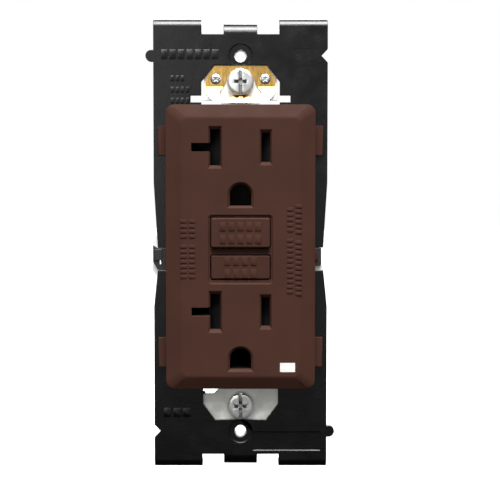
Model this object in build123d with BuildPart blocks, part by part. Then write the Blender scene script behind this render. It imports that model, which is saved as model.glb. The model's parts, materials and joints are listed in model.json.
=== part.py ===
"""Duplex 20 A ground-fault receptacle with a snap-on wall plate frame, modelled as its separate pieces.

Millimetres. +Z is up the wall, +X is to the right of someone facing the outlet, and the face looks
towards -Y. The origin lies midway between the two box screws, on the back face of the steel
mounting strap, which is the plane that meets the electrical box.
"""

from build123d import *

import math
import os

# ---------------------------------------------------------------- driving dimensions
BOX_SCREW_PITCH = 83.34  # device box ears, 3.281 in
PLATE_SCREW_PITCH = 96.84  # wall plate screws, 3.812 in
STRAP_T = 1.2
STRAP_HALF_LENGTH = 52.6
STRAP_NECK = 9.4  # half width of the strap in the windows

FRAME_T = 1.4
FRAME_FRONT = -(STRAP_T + FRAME_T)
FRAME_HALF_WIDTH = 22.3
FRAME_END = 54.4  # half length to the edge between the snap tabs
FRAME_TIP = 57.8  # half length over the snap tabs
WAIST = 21.3  # half width of the frame at mid height

COVER_W, COVER_H, COVER_R = 37.8, 72.0, 2.2
COVER_Z = -0.4  # the face sits a touch low on the strap
FACE_W, FACE_H = 29.6, 65.4  # flat front inside the sloping border
COVER_BACK = FRAME_FRONT - 0.05
COVER_RIM = -7.6  # where the sloping border starts
FACE = -9.0
COVER_INSIDE = -7.2
COVER_WALL = 1.25

BLADE_X = 6.35  # NEMA 5-20R: blades either side of the middle
GROUND_DROP = 12.0  # blade centre down to ground pin centre
UPPER_Z, LOWER_Z = 24.8, -16.6  # blade centres of the two outlets
NEUTRAL_SLOT = (2.57, 9.0)
HOT_SLOT = (2.18, 7.3)
STUB_LENGTH, STUB_H = 6.0, 2.1  # sideways arm of the T slot
GROUND_R = 2.67
RIVET_X = 5.2  # rivets that hold each ground contact to the strap
GROUND_FLAT = 2.6  # ground centre down to the flat side

LUG_HOLE = ((-20.95, -20.45), (-5.0, -3.9))  # slot through the left lug and the strap behind it

BUTTON_W = 15.3
RESET_Z, RESET_H = 3.4, 7.95
TEST_Z, TEST_H = -5.35, 6.45
BUTTON_GAP = 0.2
LIGHT_X, LIGHT_Z, LIGHT_W, LIGHT_H = 11.9, -30.7, 3.95, 2.45

HOUSING_X, HOUSING_Z = 17.5, 34.3  # front housing half sizes
REAR_X, REAR_Z, REAR_BACK = 20.4, 34.3, 26.5
REAR_WALL = 1.6
CORNER_X, CORNER_Z = 15.4, 31.7  # housing screws
CARRIER_X, CARRIER_BACK = 9.2, 8.6
BOARD_FRONT, BOARD_BACK = 19.6, 21.0

TERMINAL_Y, TERMINAL_Z = 8.5, 9.3  # terminal screws, above and below the middle
TERMINAL_IN, TERMINAL_OUT = 16.6, 17.6  # faces of the terminal plates
WIRE_X, WIRE_STEP, WIRE_R = 15.2, 3.1, 1.35

MOUNT_SCREW_R = 1.7526  # 6-32 thread
TERMINAL_SCREW_R = 2.08  # 8-32 thread
RUN = 0.06  # radial running clearance round a turning or sliding part

OUTLETS = {"upper": UPPER_Z, "lower": LOWER_Z}
pieces = {}


# ---------------------------------------------------------------- shared shapes
def plane_at(y):
    """A sketch plane facing the viewer at depth y: sketch x is +X and sketch y is +Z."""
    return Plane.XZ.offset(-y)


def block(x, y, z, mode=Mode.ADD):
    """A box between two limits along each axis."""
    (x0, x1), (y0, y1), (z0, z1) = x, y, z
    with Locations(((x0 + x1) / 2, (y0 + y1) / 2, (z0 + z1) / 2)):
        Box(x1 - x0, y1 - y0, z1 - z0, mode=mode)


def rod(x, z, r, y0, y1, mode=Mode.ADD):
    """A round bar along Y."""
    with Locations(Location((x, (y0 + y1) / 2, z), (90, 0, 0))):
        Cylinder(r, y1 - y0, mode=mode)


def cross_rod(y, z, r, x0, x1, mode=Mode.ADD):
    """A round bar along X."""
    with Locations(Location(((x0 + x1) / 2, y, z), (0, 90, 0))):
        Cylinder(r, x1 - x0, mode=mode)


def upright_rod(x, y, r, z0, z1, mode=Mode.ADD):
    """A round bar along Z."""
    with Locations((x, y, (z0 + z1) / 2)):
        Cylinder(r, z1 - z0, mode=mode)


def keep(name, part):
    part.label = name
    pieces[name] = part


def ground_sketch(y, z, grow=0.0):
    """The U shape of a ground hole at depth y: round above, flat below."""
    r, flat = GROUND_R + grow, GROUND_FLAT + grow
    with BuildSketch(plane_at(y)) as sketch:
        with BuildLine():
            Line((-r, z), (-r, z - flat))
            Line((-r, z - flat), (r, z - flat))
            Line((r, z - flat), (r, z))
            ThreePointArc((r, z), (0, z + r), (-r, z))
        make_face()
    return sketch.sketch


def slot_sketch(y, z, shift=0.0, grow=0.0):
    """The T slot and the straight slot of one outlet at depth y."""
    with BuildSketch(plane_at(y)) as sketch:
        with Locations((-BLADE_X + shift, z)):
            Rectangle(NEUTRAL_SLOT[0] + grow, NEUTRAL_SLOT[1] + grow)
        with Locations((-BLADE_X + shift - STUB_LENGTH / 2, z)):
            Rectangle(STUB_LENGTH + 2 * grow, STUB_H + grow)
        with Locations((BLADE_X + shift, z)):
            Rectangle(HOT_SLOT[0] + grow, HOT_SLOT[1] + grow)
    return sketch.sketch


def button_sketch(y):
    """The two button openings and the indicator window at depth y."""
    with BuildSketch(plane_at(y)) as sketch:
        with Locations((0, RESET_Z)):
            RectangleRounded(BUTTON_W, RESET_H, 0.6)
        with Locations((0, TEST_Z)):
            RectangleRounded(BUTTON_W, TEST_H, 0.6)
        with Locations((LIGHT_X, LIGHT_Z)):
            RectangleRounded(LIGHT_W, LIGHT_H, 0.2)
    return sketch.sketch


def plug_openings(y_front, y_back, grow=0.0):
    """Cuts every blade slot and ground hole through everything between two depths."""
    for z in OUTLETS.values():
        extrude(slot_sketch(y_front, z, grow=grow), amount=-(y_back - y_front), mode=Mode.SUBTRACT)
        ground_hole = ground_sketch(y_front, z - GROUND_DROP, grow)
        extrude(ground_hole, amount=-(y_back - y_front), mode=Mode.SUBTRACT)


# ---------------------------------------------------------------- face cover
FACE_SOFTNESS = 2.4  # radius where the sloping border meets the flat front
MOUTH_SIDE, MOUTH_END, MOUTH_DEPTH = 0.45, 0.85, 0.6  # sloping lips of the slots
PANEL_W, PANEL_H, PANEL_Z, PANEL_DEPTH = 16.3, 17.5, -0.85, 0.35
EAR_REACH, EAR_H, EAR_Z, EAR_T = 21.1, 7.5, 27.1, 1.3


def mouth_rectangle(y, x, z, width, height):
    with BuildSketch(plane_at(y)) as sketch:
        with Locations((x, z)):
            Rectangle(width, height)
    return sketch.sketch


def slot_mouth(x, z, size):
    """The four sloping lips in front of one blade slot."""
    width, height = size
    outer = mouth_rectangle(FACE, x, z, width + 2 * MOUTH_SIDE, height + 2 * MOUTH_END)
    inner = mouth_rectangle(FACE + MOUTH_DEPTH, x, z, width, height)
    loft(sections=[outer, inner], mode=Mode.SUBTRACT)


def ground_mouth(z):
    """The sloping lip in front of one ground hole."""
    outer = ground_sketch(FACE, z, MOUTH_SIDE + 0.2)
    inner = ground_sketch(FACE + MOUTH_DEPTH, z)
    loft(sections=[outer, inner], mode=Mode.SUBTRACT)


def cover_outline(y, width, height, radius):
    """Round-cornered rectangle centred on the cover, at depth y."""
    with BuildSketch(plane_at(y)) as sketch:
        with Locations((0, COVER_Z)):
            RectangleRounded(width, height, radius)
    return sketch.sketch


def make_face_cover():
    with BuildPart() as face_cover:
        extrude(cover_outline(COVER_BACK, COVER_W, COVER_H, COVER_R), amount=COVER_BACK - COVER_RIM)
        rim = cover_outline(COVER_RIM, COVER_W, COVER_H, COVER_R)
        loft(sections=[rim, cover_outline(FACE, FACE_W, FACE_H, 1.6)])
        fillet(face_cover.edges().group_by(Axis.Y)[0], FACE_SOFTNESS)
        inside_w, inside_h = COVER_W - 2 * COVER_WALL, COVER_H - 2 * COVER_WALL
        inside = cover_outline(COVER_BACK, inside_w, inside_h, COVER_R - 1)
        extrude(inside, amount=COVER_BACK - COVER_INSIDE, mode=Mode.SUBTRACT)
        with BuildSketch(plane_at(FACE)):
            with Locations((0, PANEL_Z)):
                RectangleRounded(PANEL_W, PANEL_H, 1.0)
        extrude(amount=-PANEL_DEPTH, taper=40, mode=Mode.SUBTRACT)
        for z in OUTLETS.values():
            slot_mouth(-BLADE_X, z, NEUTRAL_SLOT)
            slot_mouth(BLADE_X, z, HOT_SLOT)
            ground_mouth(z - GROUND_DROP)
        plug_openings(FACE, COVER_INSIDE)
        extrude(button_sketch(FACE), amount=FACE - COVER_INSIDE, mode=Mode.SUBTRACT)
        for side in (-1, 1):
            for z in (COVER_Z - EAR_Z, COVER_Z + EAR_Z):
                inner, outer = COVER_W / 2 - COVER_WALL, EAR_REACH
                x = sorted((side * inner, side * outer))
                block(x, (COVER_BACK - EAR_T, COVER_BACK), (z - EAR_H / 2, z + EAR_H / 2))
        middle_x = (COVER_W / 2 - COVER_WALL, COVER_W / 2 + 1.0)  # small step beside the buttons
        block(middle_x, (COVER_BACK - 0.6, COVER_BACK), (-3.8, -1.8))
        ears = face_cover.edges().filter_by(Axis.Z).filter_by_position(Axis.Y, -4.1, -3.9)
        fillet(ears, 0.35)
    keep("face_cover", face_cover.part)


make_face_cover()


# ---------------------------------------------------------------- front housing
HOUSING_FRONT, HOUSING_BACK = COVER_INSIDE + 0.1, -STRAP_T - 0.05
HOUSING_SKIN = 0.9
SHUTTER_FRONT, SHUTTER_BACK = -6.15, -4.05
DECK_FRONT, DECK_BACK = -3.95, -2.55
BAY_X, BAY_HALF_H = 16.0, 5.2  # the bay that each shutter slides in
DECK_HALF_H = 5.1
LATCH_PIN_R = 1.1


def make_front_housing():
    with BuildPart() as front_housing:
        block((-HOUSING_X, HOUSING_X), (HOUSING_FRONT, HOUSING_BACK), (-HOUSING_Z, HOUSING_Z))
        vertical = front_housing.edges().filter_by(Axis.Y)
        fillet(vertical, 1.2)
        inside = HOUSING_FRONT + HOUSING_SKIN
        for z in OUTLETS.values():
            block((-BAY_X, BAY_X), (inside, HOUSING_BACK), (z - BAY_HALF_H, z + BAY_HALF_H), Mode.SUBTRACT)
        button_top = RESET_Z + RESET_H / 2
        button_low = TEST_Z - TEST_H / 2
        block((-8.8, 8.8), (inside, HOUSING_BACK), (button_low, button_top), Mode.SUBTRACT)
        plug_openings(HOUSING_FRONT, HOUSING_BACK, grow=0.2)
        extrude(button_sketch(HOUSING_FRONT), amount=-HOUSING_SKIN, mode=Mode.SUBTRACT)
        light_x, light_z = (LIGHT_X - 1.4, LIGHT_X + 1.4), (LIGHT_Z - 1.4, LIGHT_Z + 1.4)
        block(light_x, (HOUSING_FRONT, 0), light_z, Mode.SUBTRACT)
        for side in (-1, 1):
            for end in (-1, 1):
                rod(side * CORNER_X, end * CORNER_Z, 2.0, HOUSING_BACK - 0.5, 0)
                rod(side * CORNER_X, end * CORNER_Z, 1.15, -5.6, 0.5, Mode.SUBTRACT)
        for z in OUTLETS.values():
            for x in (-RIVET_X, RIVET_X):  # clearance over the ground contact rivets
                rod(x, z - GROUND_DROP, 1.1, HOUSING_BACK - 0.35, 0, Mode.SUBTRACT)
        with BuildSketch(plane_at(FRAME_FRONT)) as left_lug:
            with BuildLine():
                Polyline(
                    (-17, -0.75), (-21.4, -0.75), (-22.5, -0.1), (-22.5, -4.3), (-21.4, -6.35), (-17, -6.35),
                    close=True,
                )
            make_face()
        extrude(left_lug.sketch, amount=FRAME_FRONT - HOUSING_BACK)
        block((-22.1, -20.2), (FRAME_FRONT - 0.4, HOUSING_BACK), (-3.95, -1.15))
        block(LUG_HOLE[0], (-4, 0), LUG_HOLE[1], Mode.SUBTRACT)
        block((17, 20.8), (FRAME_FRONT, HOUSING_BACK), (-5.35, -0.75))
    keep("front_housing", front_housing.part)


make_front_housing()


# ---------------------------------------------------------------- tamper-resistant shutters
SHUTTER_TRAVEL = 3.2
SHUTTER_LEFT, SHUTTER_RIGHT = -15.2, 12.0
SHUTTER_HALF_H = 5.0
RAMP_DEPTH = 1.6


def coil_spring(start, direction, length, radius, wire, turns):
    """A helical compression spring from start, length long."""
    path = Helix(length / turns, length, radius, center=start, direction=direction)
    with BuildPart() as spring:
        with BuildSketch(Plane(path @ 0, z_dir=path % 0)) as section:
            Circle(wire / 2)
        sweep(section.sketch, path=path, is_frenet=True)
    return spring.part


def ramp(x_low, x_high, z, half_h):
    """The slope that a plug blade pushes on to slide the shutter aside."""
    with BuildSketch(Plane.XY.offset(z - half_h)) as wedge:
        with BuildLine():
            Polyline(
                (x_low, SHUTTER_FRONT),
                (x_high, SHUTTER_FRONT),
                (x_low, SHUTTER_FRONT + RAMP_DEPTH),
                close=True,
            )
        make_face()
    extrude(wedge.sketch, amount=2 * half_h, mode=Mode.SUBTRACT)


def make_shutter(name, z):
    with BuildPart() as shutter:
        heights = (z - SHUTTER_HALF_H, z + SHUTTER_HALF_H)
        block((SHUTTER_LEFT, SHUTTER_RIGHT), (SHUTTER_FRONT, SHUTTER_BACK), heights)
        fillet(shutter.edges().filter_by(Axis.Y), 0.5)
        windows = slot_sketch(SHUTTER_FRONT, z, shift=-SHUTTER_TRAVEL, grow=0.3)
        extrude(windows, amount=-(SHUTTER_BACK - SHUTTER_FRONT), mode=Mode.SUBTRACT)
        for x, size in ((-BLADE_X, NEUTRAL_SLOT), (BLADE_X, HOT_SLOT)):
            window_edge = x - SHUTTER_TRAVEL + size[0] / 2
            ramp(window_edge, x + size[0] / 2, z, size[1] / 2 + 0.2)
    keep(f"{name}_shutter", shutter.part)
    spring = coil_spring(
        (SHUTTER_RIGHT + 0.15, (SHUTTER_FRONT + SHUTTER_BACK) / 2, z), (1, 0, 0), 3.6, 0.75, 0.2, 4
    )
    keep(f"{name}_shutter_spring", spring)


for outlet, outlet_z in OUTLETS.items():
    make_shutter(outlet, outlet_z)

with BuildPart() as shutter_decks:
    for outlet_z in OUTLETS.values():
        heights = (outlet_z - DECK_HALF_H, outlet_z + DECK_HALF_H)
        block((-BAY_X + 0.1, BAY_X - 0.1), (DECK_FRONT, DECK_BACK), heights)
        slots = slot_sketch(DECK_FRONT, outlet_z, grow=0.2)
        extrude(slots, amount=DECK_FRONT - DECK_BACK, mode=Mode.SUBTRACT)
keep("shutter_decks", shutter_decks.part)


# ---------------------------------------------------------------- buttons and indicator
RESET_FRONT, RESET_FLANGE = -10.1, -5.0
RESET_BACK = -4.0
TEST_FRONT, TEST_FLANGE, TEST_BACK = -8.95, -5.6, -4.6
FLANGE_X = 8.5
PIN_END, PIN_GROOVE = 16.6, 14.5
PIPE_END = 17.4


def make_button(name, z, height, front, flange_front, back):
    """A push button with side wings that stop it against the front housing."""
    half_w = BUTTON_W / 2 - BUTTON_GAP
    half_h = height / 2 - BUTTON_GAP
    with BuildPart() as button:
        block((-half_w, half_w), (front, back), (z - half_h, z + half_h))
        fillet(button.edges().filter_by(Axis.Y), 0.5)
        fillet(button.edges().group_by(Axis.Y)[0], 0.45)
        block((-FLANGE_X, FLANGE_X), (flange_front, back), (z - half_h + 0.3, z + half_h - 0.3))
    keep(name, button.part)


make_button("reset_button", RESET_Z, RESET_H, RESET_FRONT, RESET_FLANGE, RESET_BACK)
make_button("test_button", TEST_Z, TEST_H, TEST_FRONT, TEST_FLANGE, TEST_BACK)

with BuildPart() as reset_pin:
    rod(0, RESET_Z, LATCH_PIN_R, RESET_BACK, PIN_END)
    fillet(reset_pin.edges().sort_by(Axis.Y)[-1], 0.5)
    with BuildSketch(plane_at(PIN_GROOVE)):
        with Locations((0, RESET_Z)):
            Circle(LATCH_PIN_R)
            Circle(LATCH_PIN_R - 0.4, mode=Mode.SUBTRACT)
    extrude(amount=-0.8, mode=Mode.SUBTRACT)
keep("reset_pin", reset_pin.part)

keep("reset_spring", coil_spring((0, RESET_BACK + 0.2, RESET_Z), (0, 1, 0), 2.3, 2.3, 0.28, 3.5))

with BuildPart() as test_contact_spring:
    with BuildSketch(Plane.XY.offset(TEST_Z - 1.5)):
        with BuildLine():
            leaf = Polyline((-5.5, -1.35), (-2.0, -1.35), (0.5, -4.35), (4.5, -4.35), (5.5, -3.6))
            offset(leaf, amount=0.1, side=Side.BOTH)
        make_face()
    extrude(amount=3.0)
keep("test_contact_spring", test_contact_spring.part)

with BuildPart() as light_pipe:
    block(
        (LIGHT_X - LIGHT_W / 2 + 0.06, LIGHT_X + LIGHT_W / 2 - 0.06),
        (FACE + 0.02, -6.3),
        (LIGHT_Z - LIGHT_H / 2 + 0.06, LIGHT_Z + LIGHT_H / 2 - 0.06),
    )
    fillet(light_pipe.edges().filter_by(Axis.Y), 0.15)
    block((LIGHT_X - 1.0, LIGHT_X + 1.0), (-6.3, PIPE_END), (LIGHT_Z - 1.0, LIGHT_Z + 1.0))
keep("light_pipe", light_pipe.part)


# ---------------------------------------------------------------- mounting strap
PLATE_X, PLATE_Z = 17.0, 29.0  # middle plate, between the two housings
EAR_X, EAR_FROM = 14.0, 46.3  # broad ends behind the plastic frame
THIN_NECK = 4.9
STAKE_X, STAKE_Z, STAKE_R = 11.8, 49.9, 1.0
PLATE_TAP_R = 1.35  # 6-32 tapped hole
CLIP_RIVET_X, CLIP_RIVET_Z, CLIP_RIVET_R = 6.35, 42.5, 0.9
GROUND_TAB_Z, GROUND_TAB_Y = -43.2, 6.2


def strap_outline():
    with BuildSketch(plane_at(-STRAP_T)) as outline:
        Rectangle(2 * PLATE_X, 2 * PLATE_Z)
        Rectangle(2 * THIN_NECK, 2 * STRAP_HALF_LENGTH)
        for end, neck_from, half_w in ((1, 37.2, STRAP_NECK), (-1, 28.0, STRAP_NECK + 0.4)):
            middle = end * (neck_from + STRAP_HALF_LENGTH) / 2
            with Locations((0, middle)):
                Rectangle(2 * half_w, STRAP_HALF_LENGTH - neck_from)
            with Locations((0, end * (EAR_FROM + STRAP_HALF_LENGTH) / 2)):
                RectangleRounded(2 * EAR_X, STRAP_HALF_LENGTH - EAR_FROM, 1.5)
        with BuildLine():  # left tab, with its clipped lower corner
            Polyline((-17, 2.5), (-22.65, 2.5), (-22.65, -6.8), (-21.6, -8.1), (-17, -8.1), close=True)
        make_face()
        with Locations((19, -7.1)):  # right tab
            Rectangle(4.4, 3.8)
        with BuildLine():  # notch beside the lower box screw
            Polyline((-10.4, -38.9), (-7.0, -38.9), (-5.8, -37.7), (-5.8, -34.6), (-10.4, -34.6), close=True)
        make_face(mode=Mode.SUBTRACT)
    return outline.sketch


def strap_holes():
    with BuildSketch(plane_at(-STRAP_T)) as holes:
        for end in (-1, 1):
            with Locations((0, end * PLATE_SCREW_PITCH / 2)):
                Circle(PLATE_TAP_R)
            with Locations((0, end * BOX_SCREW_PITCH / 2)):
                SlotOverall(6.2, 4.2)
            with Locations((-STAKE_X, end * STAKE_Z), (STAKE_X, end * STAKE_Z)):
                Circle(STAKE_R + 0.05)
        with Locations((-CLIP_RIVET_X, CLIP_RIVET_Z), (CLIP_RIVET_X, CLIP_RIVET_Z)):
            Circle(CLIP_RIVET_R)
        for z in OUTLETS.values():
            with Locations((-BLADE_X - 1.9, z)):
                RectangleRounded(11.4, 12.2, 1.0)
            with Locations((BLADE_X, z)):
                RectangleRounded(6.0, 11.0, 1.0)
            with Locations((-RIVET_X, z - GROUND_DROP), (RIVET_X, z - GROUND_DROP)):
                Circle(0.7)
        with Locations((0, RESET_Z)):
            Circle(1.7)
        with Locations((LUG_HOLE[0][0] / 2 + LUG_HOLE[0][1] / 2, LUG_HOLE[1][0] / 2 + LUG_HOLE[1][1] / 2)):
            Rectangle(LUG_HOLE[0][1] - LUG_HOLE[0][0], LUG_HOLE[1][1] - LUG_HOLE[1][0])
    return holes.sketch


with BuildPart() as mounting_strap:
    extrude(strap_outline(), amount=-STRAP_T)
    extrude(strap_holes(), amount=-STRAP_T, mode=Mode.SUBTRACT)
    ground_holes_grow = 0.9
    for outlet_z in OUTLETS.values():
        hole = ground_sketch(-STRAP_T, outlet_z - GROUND_DROP, ground_holes_grow)
        extrude(hole, amount=-STRAP_T, mode=Mode.SUBTRACT)
    # tab bent back at the lower left for the equipment ground screw
    block((-STRAP_NECK, -STRAP_NECK + STRAP_T), (-0.01, 11.2), (GROUND_TAB_Z - 4.5, GROUND_TAB_Z + 4.1))
    cross_rod(GROUND_TAB_Y, GROUND_TAB_Z, TERMINAL_SCREW_R + RUN, -10, -7, Mode.SUBTRACT)
    tab_top = GROUND_TAB_Z + 4.2
    with BuildSketch(Plane.YZ.offset(-STRAP_NECK - 0.1)):  # the top of the tab slopes down to the back
        with BuildLine():
            Polyline((0.2, tab_top + 1), (0.2, tab_top), (12, tab_top - 2.3), (12, tab_top + 1), close=True)
        make_face()
    extrude(amount=STRAP_T + 0.2, mode=Mode.SUBTRACT)
keep("mounting_strap", mounting_strap.part)


# ---------------------------------------------------------------- self-grounding clip
CLIP_T = 0.5
CLIP_FRONT = -STRAP_T - CLIP_T
CLIP_BEND_Z = 40.4


def clip_outline():
    """The clip seen from the front, lip included."""
    with BuildSketch(plane_at(-5)) as outline:
        with BuildLine():
            Polyline(
                (8.9, CLIP_BEND_Z), (8.9, 42.6), (6.75, 45.9),
                (-6.75, 45.9), (-8.9, 42.6), (-8.9, CLIP_BEND_Z),
            )
            Spline((-8.9, CLIP_BEND_Z), (-8.1, 38.0), (-5.0, 36.4), tangents=((0, -1), (1, -0.15)))
            Line((-5.0, 36.4), (5.0, 36.4))
            Spline((5.0, 36.4), (8.1, 38.0), (8.9, CLIP_BEND_Z), tangents=((1, 0.15), (0, 1)))
        make_face()
        with Locations((0, BOX_SCREW_PITCH / 2)):
            Circle(3.6, mode=Mode.SUBTRACT)
        with BuildLine():
            Polyline(
                (3.6, 42.4), (4.1, 41.0), (5.5, 39.3), (5.4, 38.0), (4.9, 37.7), (-4.9, 37.7),
                (-5.4, 38.0), (-5.5, 39.3), (-4.1, 41.0), (-3.6, 42.4), close=True,
            )
        make_face(mode=Mode.SUBTRACT)
        with Locations((0, 37.9)):  # tongue below the screw head
            Rectangle(4.2, 0.8)
        for x in (-CLIP_RIVET_X, CLIP_RIVET_X):
            with Locations((x, CLIP_RIVET_Z)):
                Circle(CLIP_RIVET_R, mode=Mode.SUBTRACT)
    return outline.sketch


with BuildPart() as ground_clip:
    with BuildSketch(Plane.YZ.offset(-9.5)):
        with BuildLine():
            Polyline(
                (-STRAP_T, 47), (-STRAP_T, CLIP_BEND_Z), (-2.95, 36.2), (-3.45, 36.35),
                (CLIP_FRONT, CLIP_BEND_Z + 0.1), (CLIP_FRONT, 47), close=True,
            )
        make_face()
    extrude(amount=19)
    extrude(clip_outline(), amount=-5, mode=Mode.INTERSECT)
keep("ground_clip", ground_clip.part)

with BuildPart() as clip_rivets:
    for x in (-CLIP_RIVET_X, CLIP_RIVET_X):
        rod(x, CLIP_RIVET_Z, 1.25, CLIP_FRONT - 0.35, CLIP_FRONT)
        rod(x, CLIP_RIVET_Z, CLIP_RIVET_R, CLIP_FRONT, 0)
        rod(x, CLIP_RIVET_Z, 1.35, 0, 0.4)
        for turn in (40, 130):
            with Locations(Location((x, CLIP_FRONT - 0.35, CLIP_RIVET_Z), (0, turn, 0))):
                Box(2.6, 0.3, 0.28, mode=Mode.SUBTRACT)
keep("clip_rivets", clip_rivets.part)


# ---------------------------------------------------------------- box screws
SCREW_HEAD_R, SCREW_HEAD_H, SCREW_END = 3.3, 2.4, 22.5
SCREW_NECK_R, SCREW_SEAT = 1.5, CLIP_FRONT - 0.05


def make_box_screw(name, z):
    """A captive 6-32 pan head screw with a combination slot and cross drive and a plain neck."""
    top = SCREW_SEAT - SCREW_HEAD_H
    with BuildPart() as screw:
        rod(0, z, SCREW_HEAD_R, top, SCREW_SEAT)
        fillet(screw.edges().sort_by(Axis.Y)[0], 1.3)
        rod(0, z, SCREW_NECK_R, SCREW_SEAT, 0)
        rod(0, z, MOUNT_SCREW_R, 0, SCREW_END)
        chamfer(screw.edges().sort_by(Axis.Y)[-1], 0.6)
        block((-0.5, 0.5), (top, top + 0.9), (z - 4, z + 4), Mode.SUBTRACT)
        block((-1.7, 1.7), (top, top + 1.5), (z - 0.45, z + 0.45), Mode.SUBTRACT)
        block((-0.45, 0.45), (top, top + 1.5), (z - 1.7, z + 1.7), Mode.SUBTRACT)
    keep(name, screw.part)


make_box_screw("upper_box_screw", BOX_SCREW_PITCH / 2)
make_box_screw("lower_box_screw", -BOX_SCREW_PITCH / 2)


def make_retainer(name, z):
    """Fibre washer that keeps a box screw captive in the strap."""
    with BuildPart() as retainer:
        rod(0, z, 3.4, SCREW_SEAT + 0.05, -STRAP_T)
        rod(0, z, SCREW_NECK_R + RUN, SCREW_SEAT, 0, Mode.SUBTRACT)
    keep(name, retainer.part)


make_retainer("upper_screw_retainer", BOX_SCREW_PITCH / 2)
make_retainer("lower_screw_retainer", -BOX_SCREW_PITCH / 2)


# ---------------------------------------------------------------- wall plate frame, two mouldings
OPENING_X, OPENING_Z = 17.95, 34.75  # room for the front housing
# window over each box screw: half width, end, half width at the end, where the slanted corner starts
WINDOWS = {1: (10.05, 46.0, 6.75, 41.8), -1: (9.7, 45.4, 6.6, 41.2)}
EDGES = {1: 53.9, -1: FRAME_END}
BAND_X, BAND_LOW, BAND_HIGH = 12.8, 36.6, 38.3  # wider slot across the foot of the upper window
UPPER_RAIL_END, LOWER_RAIL_END = -0.65, -6.55
WIDE_TAB, MIDDLE_TAB = 12.4, 8.6
GANG_R, GANG_X, GANG_Z = 1.5, 22.8, 48.4
PLATE_HOLE_R, PLATE_RING_R = 1.6, 2.97


def tab_profile(end, curl, tip):
    """Side view of a snap tab: flat, rolled back round a curve, then a short return."""
    start = EDGES[end]
    straight, inner = tip - curl - start, curl - FRAME_T
    with BuildSketch(Plane.YZ) as profile:
        with BuildLine():
            Polyline(
                (-STRAP_T, end * (start - 1)), (FRAME_FRONT, end * (start - 1)),
                (FRAME_FRONT, end * (start + straight)),
            )
            RadiusArc(
                (FRAME_FRONT, end * (start + straight)), (FRAME_FRONT + curl, end * tip), end * curl
            )
            Polyline(
                (FRAME_FRONT + curl, end * tip), (1.8, end * tip), (1.8, end * (tip - FRAME_T)),
                (FRAME_FRONT + curl, end * (tip - FRAME_T)),
            )
            RadiusArc(
                (FRAME_FRONT + curl, end * (tip - FRAME_T)), (-STRAP_T, end * (start + straight)),
                -end * inner,
            )
            Line((-STRAP_T, end * (start + straight)), (-STRAP_T, end * (start - 1)))
        make_face()
    return profile.sketch


def frame_outline(end, rail_end, pin_side, band):
    """Front view of one moulding: end is +1 for the upper one and -1 for the lower one."""
    waist_z, edge_z = end * 16.0, end * EDGES[end]
    window_x, window_end, window_end_x, shoulder = WINDOWS[end]
    with BuildSketch(plane_at(FRAME_FRONT)) as outline:
        with BuildLine():
            Polyline(
                (-FRAME_HALF_WIDTH, edge_z), (FRAME_HALF_WIDTH, edge_z),
                (FRAME_HALF_WIDTH, waist_z), (WAIST, rail_end), (-WAIST, rail_end),
                (-FRAME_HALF_WIDTH, waist_z), close=True,
            )
        make_face()
        with Locations((pin_side * GANG_X, end * GANG_Z)):  # gang pin
            Circle(GANG_R)
        with Locations((0, 0)):  # opening for the receptacle body
            RectangleRounded(2 * OPENING_X, 2 * OPENING_Z, 1.4, mode=Mode.SUBTRACT)
        with BuildLine():  # window over the box screw
            Polyline(
                (-window_x, end * 30), (-window_x, end * shoulder), (-window_end_x, end * window_end),
                (window_end_x, end * window_end), (window_x, end * shoulder), (window_x, end * 30),
                close=True,
            )
        make_face(mode=Mode.SUBTRACT)
        if band:
            with Locations((0, end * (BAND_LOW + BAND_HIGH) / 2)):
                Rectangle(2 * BAND_X, BAND_HIGH - BAND_LOW, mode=Mode.SUBTRACT)
        edge = -pin_side * FRAME_HALF_WIDTH  # notch for a neighbour's gang pin
        with BuildLine():
            Polyline(
                (edge - pin_side * 0.1, end * (GANG_Z + 1.8)), (edge + pin_side * 1.6, end * GANG_Z),
                (edge - pin_side * 0.1, end * (GANG_Z - 1.8)), close=True,
            )
        make_face(mode=Mode.SUBTRACT)
        with Locations((0, end * PLATE_SCREW_PITCH / 2)):
            Circle(PLATE_HOLE_R, mode=Mode.SUBTRACT)
    return outline.sketch


def make_frame(name, end, rail_end, pin_side, band):
    with BuildPart() as frame:
        extrude(frame_outline(end, rail_end, pin_side, band), amount=-FRAME_T)
        wide = tab_profile(end, 2.0, FRAME_TIP)
        middle = tab_profile(end, 2.8, EDGES[end] + 2.9)
        for side in (-1, 1):
            outer = side * FRAME_HALF_WIDTH
            tab = extrude(wide, amount=WIDE_TAB, mode=Mode.PRIVATE)
            add(tab.moved(Location((outer if side < 0 else outer - WIDE_TAB, 0, 0))))
        tab = extrude(middle, amount=MIDDLE_TAB, mode=Mode.PRIVATE)
        add(tab.moved(Location((-MIDDLE_TAB / 2, 0, 0))))
        for side in (-1, 1):  # stiffening flange behind each side, and two stakes through the strap
            x = sorted((side * (FRAME_HALF_WIDTH - 1.2), side * FRAME_HALF_WIDTH))
            z = sorted((end * 36, end * 45.9))
            block(x, (-STRAP_T, 1.2), z)
            z = sorted((end * 51.0, end * EDGES[end]))
            block(x, (-STRAP_T, 1.2), z)
            rod(side * STAKE_X, end * STAKE_Z, STAKE_R, -STRAP_T - 0.2, 0)
            rod(side * STAKE_X, end * STAKE_Z, STAKE_R + 0.7, 0, 0.8)
        ring = plane_at(FRAME_FRONT)
        with BuildSketch(ring) as recess:
            with Locations((0, end * PLATE_SCREW_PITCH / 2)):
                Circle(PLATE_RING_R)
        extrude(recess.sketch, amount=-0.35, mode=Mode.SUBTRACT)
        if not band:  # shallow label panel on the lower moulding
            with BuildSketch(plane_at(FRAME_FRONT)) as panel:
                with Locations((11.9, -51.0)):
                    Rectangle(17.4, 4.8)
            extrude(panel.sketch, amount=-0.25, mode=Mode.SUBTRACT)
    keep(name, frame.part)


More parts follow.
